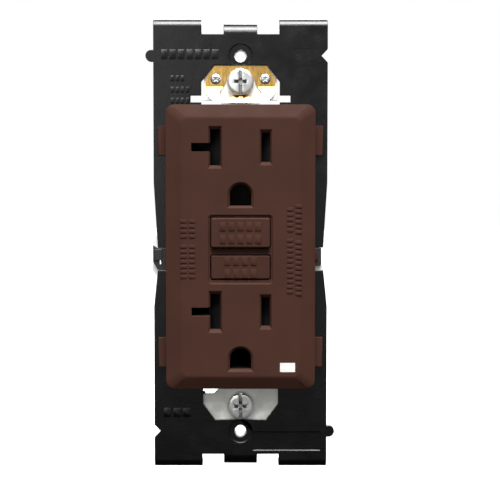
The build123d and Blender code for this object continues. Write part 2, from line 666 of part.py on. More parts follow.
make_frame("upper_plate_frame", 1, UPPER_RAIL_END, -1, True)
make_frame("lower_plate_frame", -1, LOWER_RAIL_END, 1, False)


# ---------------------------------------------------------------- contacts and their carrier
WELL_X, WELL_HALF_H = 2.3, 5.6  # half sizes of the wells round the blade contacts
BUS_FRONT, BUS_BACK = 8.7, 9.3
BUS_HALF_W = 1.7
LEG_Z = -14.8  # legs from the buses out to the load terminals
POINT_Z, POINT_R = RESET_Z - 0.6, 1.4  # the pair of switching contacts
ARM_FRONT, ARM_BACK = 11.0, 11.4
ARM_PIVOT_Z = 13.4


def leaf_spring(points, z, height, thickness):
    """A strip standing on edge, bent along the given (x, y) points."""
    half = thickness / 2
    near = [(x - half, y) for x, y in points]
    far = [(x + half, y) for x, y in points]
    with BuildSketch(Plane.XY.offset(z - height / 2)) as section:
        with BuildLine():
            Spline(*near)
            Line(near[-1], far[-1])
            Spline(*far)
            Line(near[0], far[0])
        make_face()
    extrude(section.sketch, amount=height)


def make_bus(name, side, blade_half_h):
    """Blade contacts of both outlets on one strip, with the load terminal plate on its leg."""
    x = side * BLADE_X
    with BuildPart() as bus:
        block((x - BUS_HALF_W, x + BUS_HALF_W), (BUS_FRONT, BUS_BACK), (LOWER_Z - 4.5, UPPER_Z + 4.5))
        for z in OUTLETS.values():
            for leaf_side in (-1, 1):
                bend = ((1.45, 1.0), (0.95, 2.8), (1.45, 6.1), (1.45, BUS_FRONT + 0.1))
                leaf_spring([(x + leaf_side * dx, y) for dx, y in bend], z, 2 * blade_half_h, 0.45)
        leg = sorted((side * 5.0, side * TERMINAL_OUT))
        block(leg, (BUS_FRONT, BUS_BACK), (LEG_Z - 0.8, LEG_Z + 0.8))
        plate = sorted((side * TERMINAL_IN, side * TERMINAL_OUT))
        block(plate, (4.0, 13.0), (-TERMINAL_Z - 5.5, -TERMINAL_Z + 4.4))
        cross_rod(TERMINAL_Y, -TERMINAL_Z, TERMINAL_SCREW_R + RUN, *plate, Mode.SUBTRACT)
        rod(x, POINT_Z, POINT_R, BUS_BACK, BUS_BACK + 0.8)
    keep(name, bus.part)


make_bus("neutral_bus", -1, 3.6)
make_bus("hot_bus", 1, 3.0)


def make_line_terminal(name, side):
    """The plate that the supply wire clamps to, with a leg in to the switching arm."""
    plate = sorted((side * TERMINAL_IN, side * TERMINAL_OUT))
    leg = sorted((side * 4.8, side * TERMINAL_OUT))
    with BuildPart() as terminal:
        block(plate, (4.0, 13.0), (TERMINAL_Z - 4.4, TERMINAL_Z + 6.2))
        block(leg, (ARM_FRONT, ARM_BACK), (ARM_PIVOT_Z + 0.55, ARM_PIVOT_Z + 2.1))
        cross_rod(TERMINAL_Y, TERMINAL_Z, TERMINAL_SCREW_R + RUN, *plate, Mode.SUBTRACT)
    keep(name, terminal.part)


def make_switch_arm(name, side):
    """A bronze arm carrying the moving contact, hinged at its upper end."""
    x = side * BLADE_X
    with BuildPart() as arm:
        block((x - 1.5, x + 1.5), (ARM_FRONT, ARM_BACK), (POINT_Z - 2.2, ARM_PIVOT_Z))
        fillet(arm.edges().filter_by(Axis.Y), 0.4)
        cross_rod((ARM_FRONT + ARM_BACK) / 2, ARM_PIVOT_Z - 0.2, 0.45, x - 1.5, x + 1.5)
        rod(x, POINT_Z, POINT_R, BUS_BACK + 0.82, ARM_FRONT)
    keep(name, arm.part)


for side_name, side in (("neutral", -1), ("hot", 1)):
    make_line_terminal(f"line_{side_name}_terminal", side)
    make_switch_arm(f"{side_name}_switch_arm", side)


def make_ground_contact(name, z):
    """U-shaped ground pin contact riveted behind the strap."""
    with BuildPart() as contact:
        block((-6.3, 6.3), (0.02, 0.6), (z - 3.9, z + 3.9))
        extrude(ground_sketch(0, z, 0.4), amount=-1, mode=Mode.SUBTRACT)
        for side in (-1, 1):
            bend = ((3.5, 0.4), (3.3, 2.5), (2.55, 5.5), (2.9, 7.8))
            leaf_spring([(side * x, y) for x, y in bend], z, 4.6, 0.5)
            rod(side * RIVET_X, z, 0.65, -STRAP_T, 0.02)
            rod(side * RIVET_X, z, 1.0, -STRAP_T - 0.3, -STRAP_T)
    keep(name, contact.part)


for outlet, outlet_z in OUTLETS.items():
    make_ground_contact(f"{outlet}_ground_contact", outlet_z - GROUND_DROP)

with BuildPart() as contact_carrier:
    block((-CARRIER_X, CARRIER_X), (0.1, CARRIER_BACK), (-32.4, 32.4))
    for outlet_z in OUTLETS.values():
        for x in (-BLADE_X, BLADE_X):
            block(
                (x - WELL_X, x + WELL_X), (0.05, 9), (outlet_z - WELL_HALF_H, outlet_z + WELL_HALF_H),
                Mode.SUBTRACT,
            )
        block((-CARRIER_X - 1, -BLADE_X), (0.05, 9), (outlet_z - 1.6, outlet_z + 1.6), Mode.SUBTRACT)
        pin_z = outlet_z - GROUND_DROP
        block((-4.4, 4.4), (0.05, 8.0), (pin_z - 3.6, pin_z + 3.6), Mode.SUBTRACT)
        block((-6.5, 6.5), (0.05, 0.75), (pin_z - 4.4, pin_z + 4.4), Mode.SUBTRACT)
    rod(0, RESET_Z, 1.7, 0, 9, Mode.SUBTRACT)
    for end in (-1, 1):
        block((-7.5, 7.5), (0.05, 1.2), sorted((end * 31.4, end * 33)), Mode.SUBTRACT)
keep("contact_carrier", contact_carrier.part)


# ---------------------------------------------------------------- terminal screws and clamp plates
HEAD_T, HEAD_R, SCREW_TIP = 2.5, 3.7, 9.6
CLAMP_IN, CLAMP_OUT, CLAMP_H = 12.2, 13.8, 4.1


def make_terminal_screw(name, side, y, z, seat, tip):
    """A binding-head screw along X, head outside its plate at x = seat."""
    head = sorted((side * seat, side * (seat + HEAD_T)))
    shank = sorted((side * tip, side * seat))
    outer = side * (seat + HEAD_T)
    with BuildPart() as screw:
        cross_rod(y, z, HEAD_R, *head)
        rim = screw.edges().filter_by(GeomType.CIRCLE).sort_by(Axis.X)[0 if side < 0 else -1]
        fillet(rim, 0.8)
        cross_rod(y, z, TERMINAL_SCREW_R, *shank)
        slot = sorted((outer - side * 1.1, outer))
        block(slot, (y - 4, y + 4), (z - 0.55, z + 0.55), Mode.SUBTRACT)
        cross = sorted((outer - side * 1.6, outer))
        block(cross, (y - 0.5, y + 0.5), (z - 1.9, z + 1.9), Mode.SUBTRACT)
        block(cross, (y - 1.9, y + 1.9), (z - 0.5, z + 0.5), Mode.SUBTRACT)
    keep(name, screw.part)


def make_clamp_plate(name, side, y, z, inner, outer):
    """The square nut plate that a terminal screw draws against the wires, with two wire grooves."""
    x = sorted((side * inner, side * outer))
    with BuildPart() as clamp:
        block(x, (y - 4.1, y + 4.1), (z - CLAMP_H, z + CLAMP_H))
        fillet(clamp.edges().filter_by(Axis.X), 0.5)
        cross_rod(y, z, TERMINAL_SCREW_R + RUN, *x, Mode.SUBTRACT)
        for step in (-WIRE_STEP, WIRE_STEP):
            rod(side * (outer + 0.75), z + step, 1.1, y - 5, y + 5, Mode.SUBTRACT)
    keep(name, clamp.part)


for wire, side in (("neutral", -1), ("hot", 1)):
    for source, z in (("line", TERMINAL_Z), ("load", -TERMINAL_Z)):
        make_terminal_screw(f"{source}_{wire}_screw", side, TERMINAL_Y, z, TERMINAL_OUT, SCREW_TIP)
        make_clamp_plate(f"{source}_{wire}_clamp", side, TERMINAL_Y, z, CLAMP_IN, CLAMP_OUT)
make_terminal_screw("ground_screw", -1, GROUND_TAB_Y, GROUND_TAB_Z, STRAP_NECK, 3.2)
make_clamp_plate("ground_clamp", -1, GROUND_TAB_Y, GROUND_TAB_Z, 3.8, 5.4)


# ---------------------------------------------------------------- switching latch and solenoid
SOLENOID_Y = 14.4
LIFTER_FRONT, LIFTER_BACK = 11.46, 14.4
LATCH_FRONT, LATCH_BACK = 14.6, 15.2

with BuildPart() as lifter:
    block((-8.4, 8.4), (LIFTER_FRONT, 12.9), (POINT_Z - 1.7, POINT_Z + 1.1))
    block((-4.2, 4.2), (LIFTER_FRONT, LIFTER_BACK), (RESET_Z - 2.6, RESET_Z + 2.6))
    rod(0, RESET_Z, 1.35, 11, 15, Mode.SUBTRACT)
keep("lifter", lifter.part)

with BuildPart() as latch_plate:
    block((-3.5, 3.5), (LATCH_FRONT, LATCH_BACK), (-2.0, 7.6))
    fillet(latch_plate.edges().filter_by(Axis.Y), 0.5)
    block((-1.4, 1.4), (14, 16), (RESET_Z - 2.9, RESET_Z + 1.4), Mode.SUBTRACT)
    block((-1.6, 1.6), (LATCH_FRONT - 1.4, LATCH_BACK), (-2.0, -1.4))
keep("latch_plate", latch_plate.part)

with BuildPart() as solenoid_bobbin:
    for z0 in (-8.4, -24.4):
        upright_rod(0, SOLENOID_Y, 4.95, z0, z0 + 0.8)
    upright_rod(0, SOLENOID_Y, 2.75, -24.4, -7.6)
    upright_rod(0, SOLENOID_Y, 2.0, -25, -7, Mode.SUBTRACT)
keep("solenoid_bobbin", solenoid_bobbin.part)

with BuildPart() as solenoid_coil:
    upright_rod(0, SOLENOID_Y, 4.7, -23.5, -8.5)
    upright_rod(0, SOLENOID_Y, 2.8, -24, -8, Mode.SUBTRACT)
keep("solenoid_coil", solenoid_coil.part)

with BuildPart() as solenoid_plunger:
    upright_rod(0, SOLENOID_Y, 1.9, -20.0, -5.6)
    upright_rod(0, SOLENOID_Y, 1.2, -5.6, -2.1)
    chamfer(solenoid_plunger.edges().filter_by(GeomType.CIRCLE).sort_by(Axis.Z)[0], 0.4)
keep("solenoid_plunger", solenoid_plunger.part)

with BuildPart() as solenoid_yoke:
    for side in (-1, 1):
        block(sorted((side * 5.1, side * 6.0)), (SOLENOID_Y - 3.6, SOLENOID_Y + 3.6), (-25.4, -6.6))
    for z0 in (-25.4, -7.5):
        block((-6.0, 6.0), (SOLENOID_Y - 3.6, SOLENOID_Y + 3.6), (z0, z0 + 0.9))
    upright_rod(0, SOLENOID_Y, 2.1, -8, -6, Mode.SUBTRACT)
keep("solenoid_yoke", solenoid_yoke.part)


# ---------------------------------------------------------------- sensing transformers and circuit board
TOROID_Z, TOROID_OUT, TOROID_IN = 22.6, 7.4, 3.6


def make_toroid(name, y0, y1):
    with BuildPart() as toroid:
        rod(0, TOROID_Z, TOROID_OUT, y0, y1)
        rod(0, TOROID_Z, TOROID_IN, y0 - 1, y1 + 1, Mode.SUBTRACT)
        fillet(toroid.edges().filter_by(GeomType.CIRCLE), 0.8)
    keep(name, toroid.part)


make_toroid("sense_transformer", 10.3, 13.6)
make_toroid("neutral_transformer", 14.4, 17.7)

with BuildPart() as toroid_housing:
    rod(0, TOROID_Z, TOROID_OUT + 0.8, 9.5, 18.4)
    rod(0, TOROID_Z, TOROID_OUT + 0.1, 10.2, 19, Mode.SUBTRACT)
    rod(0, TOROID_Z, TOROID_IN - 0.1, 9.5, 18.4)
    rod(0, TOROID_Z, TOROID_IN - 0.8, 9, 19, Mode.SUBTRACT)
keep("toroid_housing", toroid_housing.part)

with BuildPart() as circuit_board:
    with BuildSketch(plane_at(BOARD_FRONT)) as board_outline:
        Rectangle(27.0, 63.6)
        with Locations((-13.5, -31.8), (-13.5, 31.8), (13.5, 31.8)):
            RectangleRounded(4.6, 7.0, 0.8, mode=Mode.SUBTRACT)
        with Locations((0, RESET_Z)):
            Circle(1.6, mode=Mode.SUBTRACT)
    extrude(board_outline.sketch, amount=BOARD_FRONT - BOARD_BACK)
keep("circuit_board", circuit_board.part)

with BuildPart() as control_chip:
    block((-3.6, 1.2), (17.9, 19.2), (-30.9, -27.1))
    for step in range(4):
        x = -3.0 + step * 1.2
        for z0 in (-31.7, -27.1):
            block((x - 0.2, x + 0.2), (18.5, BOARD_FRONT), (z0, z0 + 0.8))
keep("control_chip", control_chip.part)

with BuildPart() as surge_varistor:
    rod(-9.7, -24.6, 3.3, 16.4, 18.6)
    fillet(surge_varistor.edges().filter_by(GeomType.CIRCLE), 0.7)
    for x in (-10.9, -8.5):
        rod(x, -24.6, 0.35, 18.5, BOARD_FRONT)
keep("surge_varistor", surge_varistor.part)

with BuildPart() as capacitors:
    for x, z, r in ((9.4, -12.0, 2.2), (9.4, -18.6, 2.6)):
        rod(x, z, r, 13.4, BOARD_FRONT)
    fillet(capacitors.edges().filter_by(GeomType.CIRCLE).group_by(Axis.Y)[0], 0.5)
keep("capacitors", capacitors.part)

with BuildPart() as indicator_led:
    rod(LIGHT_X, LIGHT_Z, 1.1, 18.2, BOARD_FRONT)
    rod(LIGHT_X, LIGHT_Z, 1.4, 19.0, BOARD_FRONT)
    fillet(indicator_led.edges().filter_by(GeomType.CIRCLE).sort_by(Axis.Y)[0], 0.7)
keep("indicator_led", indicator_led.part)


# ---------------------------------------------------------------- rear housing
WINDOW_HALF = 4.35  # side openings for the terminal screws
BOSS_R, BOSS_HOLE, SCREW_HEAD_SEAT = 2.6, 1.2, 22.5

with BuildPart() as rear_housing:
    block((-REAR_X, REAR_X), (0.05, REAR_BACK), (-REAR_Z, REAR_Z))
    fillet(rear_housing.edges().filter_by(Axis.Y), 2.0)
    fillet(rear_housing.faces().sort_by(Axis.Y)[-1].edges(), 1.0)
    inner_x, inner_z = REAR_X - REAR_WALL, REAR_Z - REAR_WALL
    block((-inner_x, inner_x), (0, REAR_BACK - 1.8), (-inner_z, inner_z), Mode.SUBTRACT)
    for side in (-1, 1):
        for end in (-1, 1):
            block(
                sorted((side * (CORNER_X - BOSS_R), side * (inner_x + 0.2))), (0.05, REAR_BACK - 1),
                sorted((end * (CORNER_Z - BOSS_R), end * (inner_z + 0.2))),
            )
            rod(side * CORNER_X, end * CORNER_Z, BOSS_HOLE, 0, 30, Mode.SUBTRACT)
            rod(side * CORNER_X, end * CORNER_Z, 2.2, SCREW_HEAD_SEAT, 30, Mode.SUBTRACT)
        for z in (-TERMINAL_Z, TERMINAL_Z):
            block(
                sorted((side * (inner_x - 0.1), side * 21)),
                (TERMINAL_Y - WINDOW_HALF, TERMINAL_Y + WINDOW_HALF),
                (z - WINDOW_HALF, z + WINDOW_HALF), Mode.SUBTRACT,
            )
            for step in (-WIRE_STEP, WIRE_STEP):
                rod(side * WIRE_X, z + step, WIRE_R, REAR_BACK - 2, REAR_BACK + 1, Mode.SUBTRACT)
    # room for the light guide and its lamp beside the lower right boss
    block((9.0, 14.0), (0, BOARD_BACK + 0.3), (-32.0, -28.0), Mode.SUBTRACT)
    for side in (-1, 1):
        # half-depth pads that carry the terminal plates
        block(sorted((side * 10.2, side * 19.0)), (13.2, 15.2), (-0.9, 0.9))
        block(sorted((side * 14.0, side * 19.0)), (0.05, 13.4), (-2.4, 2.4))
    rod(0, LIGHT_Z + 6, 4.2, REAR_BACK - 0.5, 30, Mode.SUBTRACT)
keep("rear_housing", rear_housing.part)

with BuildPart() as housing_screws:
    for side in (-1, 1):
        for end in (-1, 1):
            x, z = side * CORNER_X, end * CORNER_Z
            rod(x, z, 1.05, -5.0, SCREW_HEAD_SEAT)
            rod(x, z, 2.1, SCREW_HEAD_SEAT, SCREW_HEAD_SEAT + 1.6)
            block((x - 1.2, x + 1.2), (23.3, 25), (z - 0.3, z + 0.3), Mode.SUBTRACT)
            block((x - 0.3, x + 0.3), (23.3, 25), (z - 1.2, z + 1.2), Mode.SUBTRACT)
keep("housing_screws", housing_screws.part)


# ---------------------------------------------------------------- export
os.makedirs("parts", exist_ok=True)
for name, piece in pieces.items():
    export_step(piece, f"parts/{name}.step")
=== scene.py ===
import bpy
import bmesh
import json
import math
from mathutils import Matrix, Vector


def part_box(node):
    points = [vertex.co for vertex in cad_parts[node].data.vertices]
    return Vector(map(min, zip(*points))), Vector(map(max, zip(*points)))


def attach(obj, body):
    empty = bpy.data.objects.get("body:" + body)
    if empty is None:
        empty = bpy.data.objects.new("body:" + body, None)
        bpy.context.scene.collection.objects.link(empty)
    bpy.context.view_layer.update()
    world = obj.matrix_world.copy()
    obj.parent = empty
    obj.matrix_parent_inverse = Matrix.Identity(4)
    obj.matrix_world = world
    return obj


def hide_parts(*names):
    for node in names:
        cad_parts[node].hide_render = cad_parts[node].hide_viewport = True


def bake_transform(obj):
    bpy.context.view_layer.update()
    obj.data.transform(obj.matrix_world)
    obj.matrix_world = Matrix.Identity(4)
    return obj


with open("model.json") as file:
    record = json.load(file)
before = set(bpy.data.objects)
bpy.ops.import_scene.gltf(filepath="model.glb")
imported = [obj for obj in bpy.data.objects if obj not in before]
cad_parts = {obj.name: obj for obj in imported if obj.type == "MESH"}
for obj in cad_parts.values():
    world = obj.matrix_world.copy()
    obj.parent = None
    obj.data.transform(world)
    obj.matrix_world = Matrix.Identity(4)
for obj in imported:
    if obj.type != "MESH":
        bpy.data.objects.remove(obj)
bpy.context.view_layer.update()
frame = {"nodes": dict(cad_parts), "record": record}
nodes = frame["nodes"]
ROOT = "receptacle"
MM = 0.001

# Shared places of the CAD model, in mm: x to the right, y to the back, z up.
COVER_Y = -9.0  # front of the cover
FRAME_Y = -2.6  # front of the black plate frames
BACK_Y = 26.5  # back of the rear housing
SIDE_X = 20.4  # side walls of the rear housing
BOX_SCREW_SEAT = -1.75  # underside of the box screw heads
TERMINAL_SEAT = 17.6  # outer face of the terminal plates
GROUND_SEAT = 9.4  # outer face of the ground tab
TERMINAL_Z = 9.3  # terminals above and below the middle
WIRE_X, WIRE_STEP, WIRE_R = 15.2, 3.1, 1.36  # wire holes in the back
RIVET_X = 6.35  # rivets of the brass clip
THREAD_6_32, THREAD_8_32 = 1.7526, 2.08  # outer radii
PITCH_32 = 0.794  # 32 turns to the inch
FOOT = 0.05  # how far a moulded mark reaches into its wall
BOLD_MARK, FAINT_MARK = 0.16, 0.07  # how far marks stand out of the cover and of the frames


# ---------------------------------------------------------------- materials
def linear(r, g, b):
    """A colour given as 0-255 display values, as linear light."""
    out = []
    for v in (r, g, b):
        v /= 255
        out.append(v / 12.92 if v <= 0.04045 else ((v + 0.055) / 1.055) ** 2.4)
    return (*out, 1)


class Surface:
    """A material being put together from nodes, all in object coordinates (metres)."""

    def __init__(self, name, colour, rough, metal=0.0, specular=0.5):
        self.mat = bpy.data.materials.new(name)
        self.mat.use_nodes = True
        self.tree = self.mat.node_tree
        self.shader = self.tree.nodes["Principled BSDF"]
        self.coords = self.tree.nodes.new("ShaderNodeTexCoord").outputs["Object"]
        self.shader.inputs["Base Color"].default_value = colour
        self.shader.inputs["Roughness"].default_value = rough
        self.shader.inputs["Metallic"].default_value = metal
        self.shader.inputs["Specular IOR Level"].default_value = specular
        self.height = None
        self.colour = None

    def node(self, kind, **settings):
        node = self.tree.nodes.new(kind)
        for key, value in settings.items():
            setattr(node, key, value)
        return node

    def link(self, source, target):
        self.tree.links.new(source, target)

    def stretched(self, scale):
        mapping = self.node("ShaderNodeMapping")
        mapping.inputs["Scale"].default_value = scale
        self.link(self.coords, mapping.inputs["Vector"])
        return mapping.outputs["Vector"]

    def noise(self, size, detail=2.0, stretch=(1, 1, 1), roughness=0.5):
        """Noise whose lumps are about size metres across."""
        noise = self.node("ShaderNodeTexNoise")
        noise.inputs["Scale"].default_value = 1 / size
        noise.inputs["Detail"].default_value = detail
        noise.inputs["Roughness"].default_value = roughness
        self.link(self.stretched(stretch), noise.inputs["Vector"])
        return noise.outputs["Fac"]

    def cells(self, size, feature="F1"):
        voronoi = self.node("ShaderNodeTexVoronoi", feature=feature)
        voronoi.inputs["Scale"].default_value = 1 / size
        self.link(self.coords, voronoi.inputs["Vector"])
        return voronoi

    def remap(self, value, low, high, to_low, to_high):
        remap = self.node("ShaderNodeMapRange")
        self.link(value, remap.inputs["Value"])
        for key, number in (("From Min", low), ("From Max", high), ("To Min", to_low), ("To Max", to_high)):
            remap.inputs[key].default_value = number
        return remap.outputs["Result"]

    def tint(self, fac, colour_a, colour_b):
        """Base colour varies between two colours with fac."""
        mix = self.node("ShaderNodeMix", data_type="RGBA")
        self.link(fac, mix.inputs["Factor"])
        mix.inputs["A"].default_value = colour_a
        mix.inputs["B"].default_value = colour_b
        self.colour = mix.outputs["Result"]
        self.link(self.colour, self.shader.inputs["Base Color"])

    def blend_over(self, fac, colour):
        """Lays another colour over what is there."""
        mix = self.node("ShaderNodeMix", data_type="RGBA")
        self.link(fac, mix.inputs["Factor"])
        self.link(self.colour, mix.inputs["A"])
        mix.inputs["B"].default_value = colour
        self.colour = mix.outputs["Result"]
        self.link(self.colour, self.shader.inputs["Base Color"])

    def shade_recesses(self, colour, reach):
        """Painted shade: the colour darkens in narrow recesses up to that reach in metres."""
        cover = self.node("ShaderNodeAmbientOcclusion", samples=8)
        cover.inputs["Distance"].default_value = reach
        self.blend_over(self.remap(cover.outputs["AO"], 0.45, 0.95, 1.0, 0.0), colour)

    def vary_roughness(self, fac, low, high):
        self.link(self.remap(fac, 0.3, 0.7, low, high), self.shader.inputs["Roughness"])

    def bump(self, value, depth):
        """Adds a bump of that depth in metres on top of what is there."""
        bump = self.node("ShaderNodeBump")
        bump.inputs["Distance"].default_value = depth
        bump.inputs["Strength"].default_value = 1
        self.link(value, bump.inputs["Height"])
        if self.height is not None:
            self.link(self.height, bump.inputs["Normal"])
        self.height = bump.outputs["Normal"]
        self.link(self.height, self.shader.inputs["Normal"])

    def edges(self, reach=0.00025):
        """Where the shape turns a corner within that reach in metres."""
        rounded = self.node("ShaderNodeBevel", samples=6)
        rounded.inputs["Radius"].default_value = reach
        geometry = self.node("ShaderNodeNewGeometry")
        turn = self.node("ShaderNodeVectorMath", operation="DOT_PRODUCT")
        self.link(rounded.outputs["Normal"], turn.inputs[0])
        self.link(geometry.outputs["Normal"], turn.inputs[1])
        return self.remap(turn.outputs["Value"], 0.99, 0.8, 0, 1)


def shade(colour, factor):
    return (*[min(1, c * factor) for c in colour[:3]], 1)


def moulded(name, colour, rough, grain=0.00035, depth=0.00002, specular=0.35, edge_highlight=1.25):
    """Moulded plastic: fine spark-eroded grain, slow colour drift and slightly paler edges, which are a
    painted highlight.
    """
    s = Surface(name, colour, rough, specular=specular)
    s.tint(s.remap(s.noise(0.012, 3), 0.3, 0.7, 0, 1), shade(colour, 0.93), shade(colour, 1.07))
    # Painted highlight: the colour turns paler along the edges by the edge highlight factor.
    s.blend_over(s.edges(), shade(colour, edge_highlight))
    fine = s.noise(grain, 3, roughness=0.6)
    s.vary_roughness(s.noise(0.004, 3), rough - 0.05, rough + 0.06)
    s.bump(fine, depth)
    s.bump(s.noise(0.006, 2), 0.00004)
    return s


def steel(name, colour, rough, streak=(1, 1, 1), grain=0.0008, depth=0.000012, metal=1.0):
    s = Surface(name, colour, rough, metal=metal)
    patches = s.noise(0.003, 4, stretch=streak)
    s.tint(s.remap(patches, 0.3, 0.7, 0, 1), shade(colour, 0.82), shade(colour, 1.1))
    s.vary_roughness(patches, rough - 0.07, rough + 0.09)
    s.bump(s.noise(grain, 4, stretch=streak), depth)
    return s


def plated(name, colour, recess_shade, rough, metal):
    """Bright plating, with painted shade darkening it down in slots and corners."""
    s = steel(name, colour, rough, grain=0.0005, metal=metal)
    # Painted shade: the recess colour is laid into slots and corners by ambient occlusion.
    s.shade_recesses(recess_shade, 0.0009)
    return s


def galvanised(name, colour, rough):
    """Zinc coating with its faint crystal facets."""
    s = steel(name, colour, rough, metal=0.8)
    spangle = s.cells(0.0022)
    facet = s.node("ShaderNodeSeparateColor")
    s.link(spangle.outputs["Color"], facet.inputs["Color"])
    s.blend_over(s.remap(facet.outputs["Red"], 0, 1, 0.0, 0.35), shade(colour, 1.3))
    return s


def build_materials():
    brown = linear(76, 49, 40)
    mats = {
        "brown_cover": moulded("brown_cover", brown, 0.6, specular=0.04),
        "button_plastic": moulded("button_plastic", shade(brown, 0.97), 0.6, specular=0.04),
        # The black frames get the strongest painted edge highlight.
        "black_frame": moulded(
            "black_frame", linear(7, 7, 9), 0.22, grain=0.0005, depth=0.00003, specular=0.36, edge_highlight=2.2
        ),
        "housing_black": moulded(
            "housing_black", linear(32, 32, 34), 0.5, grain=0.0007, depth=0.00005, edge_highlight=1.6
        ),
        "carrier_grey": moulded("carrier_grey", linear(42, 41, 42), 0.55),
        "shutter_black": moulded("shutter_black", linear(12, 12, 13), 0.35),
        "nylon": moulded("nylon", linear(225, 220, 205), 0.42, edge_highlight=1.05),
        "component_black": moulded("component_black", linear(26, 26, 28), 0.45),
        "ferrite": moulded("ferrite", linear(46, 44, 44), 0.6, grain=0.0005, depth=0.00006),
        "varistor_blue": moulded("varistor_blue", linear(38, 78, 140), 0.25, edge_highlight=1.1),
        "capacitor_sleeve": moulded("capacitor_sleeve", linear(28, 30, 62), 0.28, edge_highlight=1.3),
        "led_lens": moulded("led_lens", linear(228, 232, 222), 0.15, edge_highlight=1.0),
        "galvanised_steel": galvanised("galvanised_steel", linear(240, 240, 232), 0.45),
        # The zinc screws' second colour is painted shade for their slots and cross.
        "zinc_screw": plated("zinc_screw", linear(246, 248, 244), linear(26, 30, 24), 0.16, 0.62),
        "spring_steel": steel("spring_steel", linear(178, 178, 180), 0.3, streak=(1, 1, 6)),
        "brass_clip": steel("brass_clip", linear(218, 176, 100), 0.2, streak=(6, 1, 1)),
        "brass_contact": steel("brass_contact", linear(212, 172, 98), 0.3, streak=(1, 1, 5)),
        "bronze_arm": steel("bronze_arm", linear(204, 140, 92), 0.32, streak=(1, 1, 5)),
        # The green screw's second colour is painted shade for its slots and cross.
        "green_screw": plated("green_screw", linear(66, 150, 84), linear(14, 30, 18), 0.3, 0.6),
    }
    board = moulded("board_green", linear(28, 88, 52), 0.3, edge_highlight=1.1)
    traces = board.cells(0.003, feature="DISTANCE_TO_EDGE")
    board.blend_over(board.remap(traces.outputs["Distance"], 0.03, 0.06, 0.55, 0.0), linear(70, 140, 84))
    mats["board_green"] = board
    wire = Surface("copper_wire", linear(170, 84, 38), 0.28, specular=0.6)
    turns = wire.node("ShaderNodeTexWave", wave_type="BANDS", bands_direction="Z")
    turns.inputs["Scale"].default_value = 1 / 0.0045
    wire.link(wire.coords, turns.inputs["Vector"])
    # The wave bands paint each turn dark in its groove and light on its crest: painted shade and highlight
    # on top of the bump.
    wire.tint(turns.outputs["Fac"], linear(96, 40, 18), linear(196, 108, 56))
    wire.bump(turns.outputs["Fac"], 0.0001)
    mats["copper_wire"] = wire
    light = Surface("light_plastic", linear(250, 250, 246), 0.2)
    light.tint(light.noise(0.002, 2), linear(244, 244, 240), linear(255, 255, 252))
    # Emission here is a faint painted glow that keeps the indicator lens white.
    light.shader.inputs["Emission Color"].default_value = (1, 1, 0.97, 1)
    light.shader.inputs["Emission Strength"].default_value = 0.08
    light.bump(light.noise(0.0006, 2), 0.00001)
    mats["light_plastic"] = light
    return {name: s.mat for name, s in mats.items()}


MATERIALS = build_materials()
slot_of = {entry["node"]: entry["material_slot"] for entry in frame["record"]["subparts"]}
for node_name, obj in nodes.items():
    for place in obj.material_slots:
        place.material = MATERIALS[slot_of[node_name]]


# ---------------------------------------------------------------- mesh helpers
def make_object(name, bm, slot_name, body, material=None):
    """Turns a bmesh into a piece of the object that rides on a body."""
    bmesh.ops.recalc_face_normals(bm, faces=bm.faces)
    mesh = bpy.data.meshes.new(name)
    bm.to_mesh(mesh)
    bm.free()
    mesh.shade_smooth()
    mesh.set_sharp_from_angle(angle=math.radians(35))
    mesh.materials.append(material or MATERIALS[slot_name])
    obj = bpy.data.objects.new(name, mesh)
    bpy.context.scene.collection.objects.link(obj)
    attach(obj, body)
    return obj


def rounded_loop(w, h, r, steps=5):
    """Corner-rounded rectangle outline, counter-clockwise, centred on the origin."""
    r = min(r, w / 2 - 1e-6, h / 2 - 1e-6)
    points = []
    for i, (sx, sz) in enumerate(((1, 1), (-1, 1), (-1, -1), (1, -1))):
        for k in range(steps):
            a = math.pi / 2 * (i + k / (steps - 1))
            points.append((sx * (w / 2 - r) + r * math.cos(a), sz * (h / 2 - r) + r * math.sin(a)))
    return points


def stack_loops(bm, loops, cap_first=True, cap_last=True):
    """Joins closed loops of equal length into a skin, one ring after another."""
    rings = [[bm.verts.new(p) for p in loop] for loop in loops]
    for a, b in zip(rings, rings[1:]):
        for i in range(len(a)):
            j = (i + 1) % len(a)
            bm.faces.new((a[i], a[j], b[j], b[i]))
    if cap_first:
        bm.faces.new(rings[0])
    if cap_last:
        bm.faces.new(list(reversed(rings[-1])))


def raised_pad(bm, x, z, w, h, y, height, r=0.3, towards=-1):
    """A low moulded pad on a face at depth y, with a rounded shoulder. Sizes in mm."""
    soft = min(0.4 * height, 0.12)
    loops = []
    for inset, rise in ((0, -FOOT), (0, height - soft), (soft * 0.35, height - soft * 0.35), (soft, height)):
        loop = rounded_loop(w - 2 * inset, h - 2 * inset, r)
        loops.append([((x + u) * MM, (y + towards * rise) * MM, (z + v) * MM) for u, v in loop])
    stack_loops(bm, loops)


def raised_frame(bm, x, z, w, h, y, height, rim, r=0.6, towards=-1):
    """A low raised outline: a rounded rectangle with an open middle."""
    outer = rounded_loop(w, h, r)
    inner = rounded_loop(w - 2 * rim, h - 2 * rim, max(r - rim, 0.1))

    def place(loop, rise):
        return [((x + u) * MM, (y + towards * rise) * MM, (z + v) * MM) for u, v in loop]

    loops = [place(inner, -FOOT), place(inner, height), place(outer, height), place(outer, -FOOT)]
    stack_loops(bm, loops, cap_first=False, cap_last=False)


def lathe(bm, profile, segments=48):
    """Turns (radius, y) points in mm about the Y axis. A radius of 0 closes an end."""
    rings = []
    for radius, y in profile:
        if radius == 0:
            rings.append([bm.verts.new((0, y * MM, 0))])
            continue
        ring = []
        for i in range(segments):
            a = 2 * math.pi * i / segments
            ring.append(bm.verts.new((radius * MM * math.cos(a), y * MM, radius * MM * math.sin(a))))
        rings.append(ring)
    for a, b in zip(rings, rings[1:]):
        for i in range(segments):
            j = (i + 1) % segments
            if len(a) == 1:
                bm.faces.new((a[0], b[j], b[i]))
            elif len(b) == 1:
                bm.faces.new((a[i], a[j], b[0]))
            else:
                bm.faces.new((a[i], a[j], b[j], b[i]))


